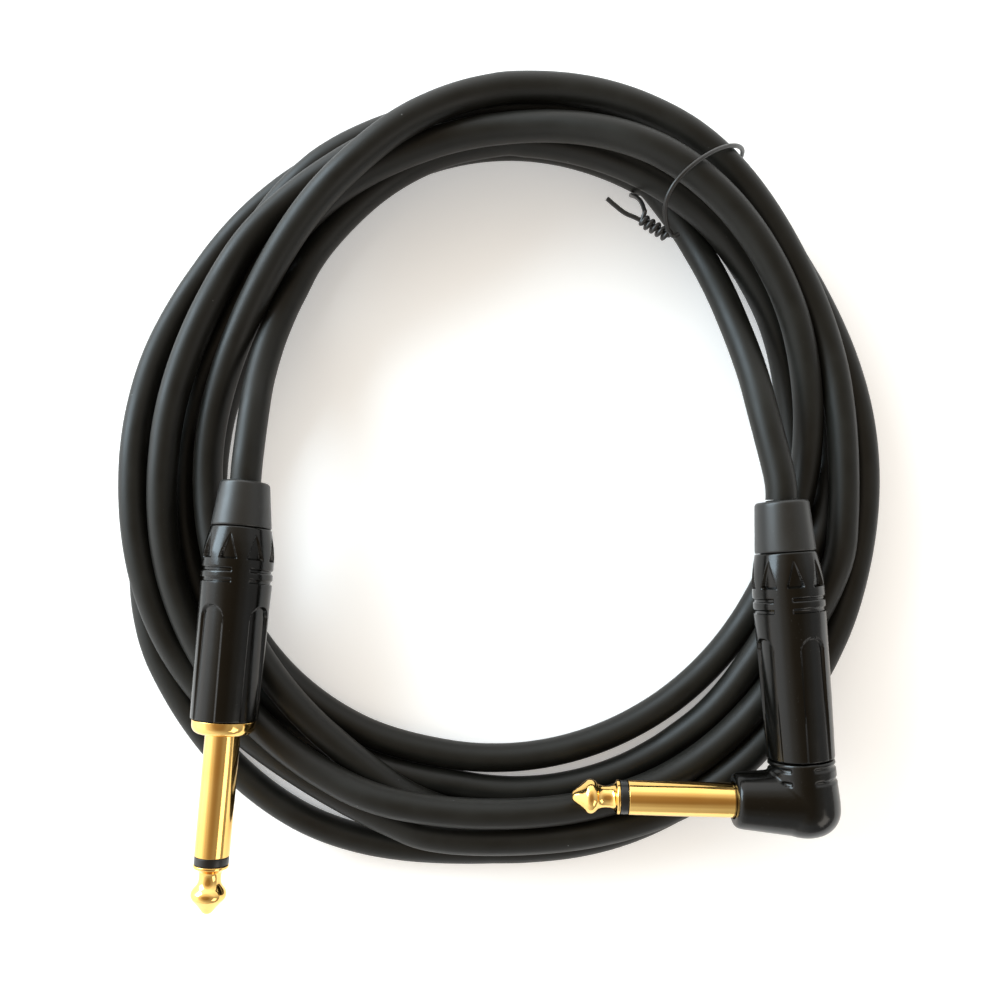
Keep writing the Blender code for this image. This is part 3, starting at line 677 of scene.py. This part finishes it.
def shell_carver(length, facing):
    """Depths of the shell's grooves, notches and panels, round a plain strip at the facing angle."""
    notch_front, notch_point = length * 0.835, length * 0.962
    grooves = (length * 0.72, length * 0.774)
    arch = length * 0.591

    def carve(radius, along, turn):
        if radius < SHELL_BORE + 0.2:
            return radius
        angle = math.degrees(turn)
        depth = 0.0
        # Two ring grooves, broken by a plain strip on each side
        strip = min(abs(angle_from(angle, facing)), abs(angle_from(angle, facing + 180)))
        for groove in grooves:
            across = abs(along - groove)
            sunk = SHELL_GROOVE_DEPTH * (1 - smooth_step(across, 0.2, 0.42))
            depth = max(depth, sunk * smooth_step(strip, 14.0, 15.6))
        # Eight notches that widen and deepen towards their base
        nearest = min((angle_from(angle, facing + 22.5 + 45 * k) for k in range(8)), key=abs)
        side = abs(math.radians(nearest)) * radius
        if notch_front - 0.3 < along < notch_point:
            share = (notch_point - along) / (notch_point - notch_front)
            edge = 1.5 * share
            inside = 1 - smooth_step(side, edge - 0.12, edge + 0.1)
            wall = smooth_step(along, notch_front - 0.1, notch_front + 0.06)
            depth = max(depth, (0.1 + 0.7 * share) * inside * wall)
        # Four long panels with arched tops, sunk to one level
        panel = min((angle_from(angle, facing + 45 + 90 * k) for k in range(4)), key=abs)
        across = abs(math.radians(panel)) * radius
        half = PANEL_HALF_WIDTH
        if across < half + 0.3 and along < arch + 0.3:
            top = arch - PANEL_ARCH + PANEL_ARCH * math.sqrt(max(0.0, 1 - min(1.0, across / half) ** 2))
            inside = 1 - smooth_step(across, half - 0.2, half + 0.1)
            inside *= 1 - smooth_step(along, top - 0.2, top + 0.1)
            depth = max(depth, max(0.12, radius - PANEL_LEVEL) * inside)
        return radius - depth

    return carve


def add_shell(plug, place, length, facing):
    shares = np.linspace(0, 1, 200)
    radii = evened(np.array([shell_radius(share) for share in shares]), 7)
    outer = [(float(radius), float(share) * length) for share, radius in zip(shares, radii)]
    outer[0] = (outer[0][0] - 0.14, 0.0)
    outer.insert(1, (outer[1][0] - 0.03, 0.07))
    outer[-1] = (outer[-1][0] - 0.12, length)
    inner = [(REAR_BORE, length), (REAR_BORE, length - 13), (SHELL_BORE, length - 14.8), (SHELL_BORE, 0.0)]
    carve = shell_carver(length, facing)
    mesh = turned_mesh(f"{plug}_shell_fine", outer + inner, place, steps=SHELL_STEPS, radius_at=carve)
    add_piece(f"{plug}_shell_fine", mesh, SHELL_BLACK, "black_metal", "root", f"{plug}_shell")


def add_nut(plug, place, length, nut_length, rear_radius):
    front_radius = 5.3
    front, rear = length + 0.12, length + SEAM_GAP + nut_length
    outline = [
        (NUT_BORE, rear - 0.5),
        (NUT_BORE + 0.3, rear - 0.15),
        (rear_radius - 0.75, rear),
        (rear_radius - 0.35, rear - 0.02),
        (rear_radius - 0.05, rear - 0.35),
        (rear_radius + 0.02, rear - 0.9),
        (front_radius, front + 0.25),
        (front_radius - 0.12, front),
        (4.2, front),
        (4.2, length - 3.4),
        (NUT_BORE, length - 3.4),
    ]
    mesh = turned_mesh(f"{plug}_nut_fine", rounded(outline, 0.25), place)
    body = "straight_nut" if plug == "straight" else "elbow_nut"
    add_piece(f"{plug}_nut_fine", mesh, NUT_BLACK, "black_metal", body, f"{plug}_boot_nut")


# Elbow head


def temporary(name, outline, place, steps=96, closed=False):
    mesh = turned_mesh(name, outline, place, steps=steps, closed=closed)
    holder = bpy.data.objects.new(name, mesh)
    bpy.context.scene.collection.objects.link(holder)
    return holder


def evaluated_mesh(holder):
    graph = bpy.context.evaluated_depsgraph_get()
    return bpy.data.meshes.new_from_object(holder.evaluated_get(graph))


def add_elbow_head():
    """A round-bottomed head and a conical arm, run together with a soft fillet."""
    radius, bottom, rounding = 6.15, -5.95, 4.9
    head_outline = [(0.0, ELBOW_SEAM), (5.65, ELBOW_SEAM), (5.82, ELBOW_SEAM - 0.25)]
    head_outline += [(5.88, ELBOW_SEAM - 3.0), (6.02, ELBOW_SEAM - 5.5), (radius, 0.3)]
    head_outline += [
        (radius - rounding * (1 - math.cos(turn)), bottom + rounding * (1 - math.sin(turn)))
        for turn in np.linspace(0.0, math.pi / 2, 12)
    ]
    head_outline += [(0.0, bottom)]
    head = temporary("elbow_head_work", head_outline, ELBOW_HEAD)
    face = ELBOW_ARM_LENGTH - ELBOW_ARM_FACE
    arm_outline = [(0.0, ELBOW_ARM_LENGTH - 0.2), (6.15, ELBOW_ARM_LENGTH - 0.2), (4.97, face + 1.1)]
    arm_outline += [(4.8, face + 0.5), (4.45, face + 0.12), (4.0, face), (0.0, face)]
    arm = temporary("elbow_arm_work", arm_outline, ELBOW_FINGER)
    union = head.modifiers.new("union", "BOOLEAN")
    union.operation = "UNION"
    union.object = arm
    remesh = head.modifiers.new("remesh", "REMESH")
    remesh.mode = "VOXEL"
    remesh.voxel_size = 0.22 * MM
    relax = head.modifiers.new("relax", "SMOOTH")
    relax.factor = 0.5
    relax.iterations = 8
    mesh = evaluated_mesh(head)
    groove_head(mesh)
    worked = bpy.data.objects.new("elbow_head_bored", mesh)
    bpy.context.scene.collection.objects.link(worked)
    arm_bore = [(0.0, ELBOW_ARM_LENGTH), (3.3, ELBOW_ARM_LENGTH), (3.3, face - 1), (0.0, face - 1)]
    bores = [temporary("arm_bore_work", arm_bore, ELBOW_FINGER)]
    barrel_bore = [(0.0, ELBOW_SEAM + 1), (4.6, ELBOW_SEAM + 1), (4.6, -4.4), (0.0, -4.4)]
    bores.append(temporary("barrel_bore_work", barrel_bore, ELBOW_HEAD))
    for bore in bores:
        cut = worked.modifiers.new(bore.name, "BOOLEAN")
        cut.object = bore
    final = evaluated_mesh(worked)
    for holder in [head, arm, worked, *bores]:
        bpy.data.objects.remove(holder)
    final.shade_smooth()
    final.set_sharp_from_angle(angle=math.radians(50))
    add_piece("elbow_head_fine", final, SHELL_BLACK, "black_metal", "root", "elbow_head")


def groove_head(mesh):
    """Two ring grooves on the head just under the seam, broken by a plain strip on top."""
    forward = Matrix.Scale(MM, 4) @ ELBOW_HEAD
    back = forward.inverted()
    for vertex in mesh.vertices:
        point = back @ vertex.co
        radius = math.hypot(point.x, point.y)
        if not 5.6 < radius < 6.1:
            continue
        strip = abs(angle_from(math.degrees(math.atan2(point.x, point.y)), 15))
        across = min(abs(point.z - level) for level in (ELBOW_SEAM - 1.1, ELBOW_SEAM - 3.4))
        depth = HEAD_GROOVE_DEPTH * (1 - smooth_step(across, 0.12, 0.5)) * smooth_step(strip, 18, 22)
        if depth > 0:
            scale = (radius - depth) / radius
            vertex.co = forward @ Vector((point.x * scale, point.y * scale, point.z))


# Wire tie


def twist(start, end, radius, turns, phase):
    """Points winding round the line from start to end."""
    start, end = Vector(start), Vector(end)
    heading = (end - start).normalized()
    side = heading.cross(Vector((0, 0, 1))).normalized()
    rise = side.cross(heading)
    count = int(turns * 10)
    points = []
    for k in range(count + 1):
        turn = math.tau * turns * k / count + phase
        offset = rise * math.sin(turn) + side * math.cos(turn)
        points.append(tuple(start.lerp(end, k / count) + offset * radius))
    return points


def clear_of(points, cable):
    """The wire's points pushed out of the cable and evened, so that the wire lies along it."""
    points = np.array(points)
    reach = CABLE_RADIUS + TIE_RADIUS + 0.03
    for _ in range(60):
        points[1:-1] = 0.7 * points[1:-1] + 0.15 * (points[:-2] + points[2:])
        apart = points[:, None] - cable[None]
        distance = np.linalg.norm(apart, axis=2)
        nearest = distance.argmin(axis=1)
        index = np.arange(len(points))
        gap = distance[index, nearest]
        points += apart[index, nearest] / gap[:, None] * np.clip(reach - gap, 0, None)[:, None]
        points[:, 2] = np.maximum(points[:, 2], TIE_RADIUS + 0.02)
    return [tuple(point) for point in points]


def add_tie(cable):
    """One wire: a loose end, over the coil and back under it, then wound round its own start."""
    core = [
        (18.6, 48.6, 22.3),
        (20.1, 47.6, 21.7),
        (22.0, 46.5, 21.0),
        (24.2, 45.8, 20.4),
        (27.2, 44.2, 20.2),
        (29.6, 42.8, 20.2),
        (30.2, 42.8, 20.9),
    ]
    loop = [
        (29.5, 43.1, 21.9),
        (28.2, 44.7, 23.6),
        (27.5, 46.1, 25.4),
        (28.0, 47.5, 26.8),
        (30.0, 49.7, 27.6),
        (32.6, 52.2, 27.4),
        (35.5, 54.7, 26.2),
        (38.3, 56.8, 24.4),
        (41.2, 58.5, 22.6),
        (43.8, 59.7, 19.5),
        (45.2, 60.6, 15.0),
        (45.6, 61.6, 9.5),
        (45.2, 61.4, 4.5),
        (43.5, 60.5, 1.4),
        (39.0, 59.5, 0.5),
        (33.0, 59.5, 0.5),
        (27.5, 60.0, 0.6),
        (25.4, 58.4, 2.5),
        (25.2, 56.0, 7.5),
        (25.6, 52.9, 13.5),
        (25.9, 49.4, 17.8),
        (25.6, 46.8, 20.6),
    ]
    winding = twist((25.3, 45.4, 20.3), (29.9, 42.6, 20.2), 0.84, 4.5, 0.3)
    ending = [(31.0, 42.9, 19.5), (31.9, 43.4, 19.2)]
    around = clear_of(evenly(catmull_rom(loop, 0.5), 0.8), cable)
    fine = catmull_rom(core + around + winding + ending, 0.35)
    data = tube_curve("tie", fine, TIE_RADIUS, 4)
    add_piece("tie", data, TIE_BLACK, "tie_plastic", "root", "wire_tie")


# Floor and light


def add_stage():
    """White paper lit a little from below, as on a light table."""
    floor_mesh = bpy.data.meshes.new("floor")
    bm = bmesh.new()
    bmesh.ops.create_grid(bm, x_segments=1, y_segments=1, size=2.0)
    bm.to_mesh(floor_mesh)
    bm.free()
    floor = bpy.data.objects.new("floor", floor_mesh)
    floor.location.z = -0.00005
    bpy.context.scene.collection.objects.link(floor)
    paper, nodes, links, shader, where = node_material("paper")
    tone = noise(nodes, links, where, 3, 2.0)
    shade = mix_colour(nodes, links, tone, (0.93, 0.93, 0.93), (0.95, 0.95, 0.95))
    links.new(shade, shader.inputs["Base Color"])
    shader.inputs["Roughness"].default_value = 0.9
    shader.inputs["Specular IOR Level"].default_value = 0.1
    shader.inputs["Emission Color"].default_value = (1.0, 1.0, 1.0, 1.0)
    shader.inputs["Emission Strength"].default_value = 0.3
    floor_mesh.materials.append(paper)


def add_light(name, location, target, size, power, colour):
    light = bpy.data.lights.new(name, "AREA")
    light.shape = "RECTANGLE"
    light.size, light.size_y = size
    light.energy = power
    light.color = colour
    holder = bpy.data.objects.new(name, light)
    holder.location = location
    heading = Vector(target) - Vector(location)
    holder.rotation_euler = heading.to_track_quat("-Z", "Y").to_euler()
    bpy.context.scene.collection.objects.link(holder)


def add_world():
    """A room with pale walls, brightest low on the window's side, and a dim ceiling."""
    world = bpy.data.worlds.new("studio")
    world.use_nodes = True
    nodes, links = world.node_tree.nodes, world.node_tree.links
    background = nodes["Background"]
    where = nodes.new("ShaderNodeTexCoord").outputs["Generated"]
    split = nodes.new("ShaderNodeSeparateXYZ")
    links.new(where, split.inputs[0])
    wall = nodes.new("ShaderNodeValToRGB")
    wall.color_ramp.interpolation = "EASE"
    stops = wall.color_ramp.elements
    stops[0].position, stops[0].color = 0.0, (1.0, 0.98, 0.95, 1)
    stops[1].position, stops[1].color = 0.97, (0.24, 0.17, 0.1, 1)
    for place, colour in ((0.5, (0.86, 0.86, 0.84, 1)), (0.8, (0.48, 0.43, 0.36, 1))):
        stops.new(place).color = colour
    links.new(split.outputs["Z"], wall.inputs["Fac"])
    toward_window = nodes.new("ShaderNodeVectorMath")
    toward_window.operation = "DOT_PRODUCT"
    toward_window.inputs[1].default_value = (-0.75, 0.66, 0.0)
    links.new(where, toward_window.inputs[0])
    strength = remap(nodes, links, toward_window.outputs["Value"], -1, 1, 0.35, 2.7)
    links.new(wall.outputs["Color"], background.inputs["Color"])
    links.new(strength, background.inputs["Strength"])
    bpy.context.scene.world = world


def add_lighting():
    add_world()
    add_light("window", (-0.75, 0.45, 0.42), (0, 0, 0), (0.7, 0.5), 12.0, (0.68, 0.87, 1.0))
    add_light("lamp", (0.65, -0.55, 0.5), (0, 0, 0), (0.5, 0.4), 1.5, (1.0, 0.93, 0.84))


finish_cad_nodes()
for plug_name, finger in (("straight", STRAIGHT_FINGER), ("elbow", ELBOW_FINGER)):
    add_tip(plug_name, finger)
    add_ring(plug_name, finger)
add_sleeve("straight", STRAIGHT_FINGER, 38.0, flange=True)
add_sleeve("elbow", ELBOW_FINGER, 34.7, flange=False)
add_shell("straight", STRAIGHT_BARREL, STRAIGHT_SHELL_LENGTH, STRAIGHT_FACING)
add_shell("elbow", ELBOW_BARREL, ELBOW_SHELL_LENGTH, ELBOW_FACING)
add_nut("straight", STRAIGHT_BARREL, STRAIGHT_SHELL_LENGTH, STRAIGHT_NUT_LENGTH, STRAIGHT_NUT_REAR_RADIUS)
add_nut("elbow", ELBOW_BARREL, ELBOW_SHELL_LENGTH, ELBOW_NUT_LENGTH, ELBOW_NUT_REAR_RADIUS)
add_elbow_head()
add_tie(cable_points)
add_stage()
add_lighting()

bpy.context.scene.view_settings.view_transform = "Standard"
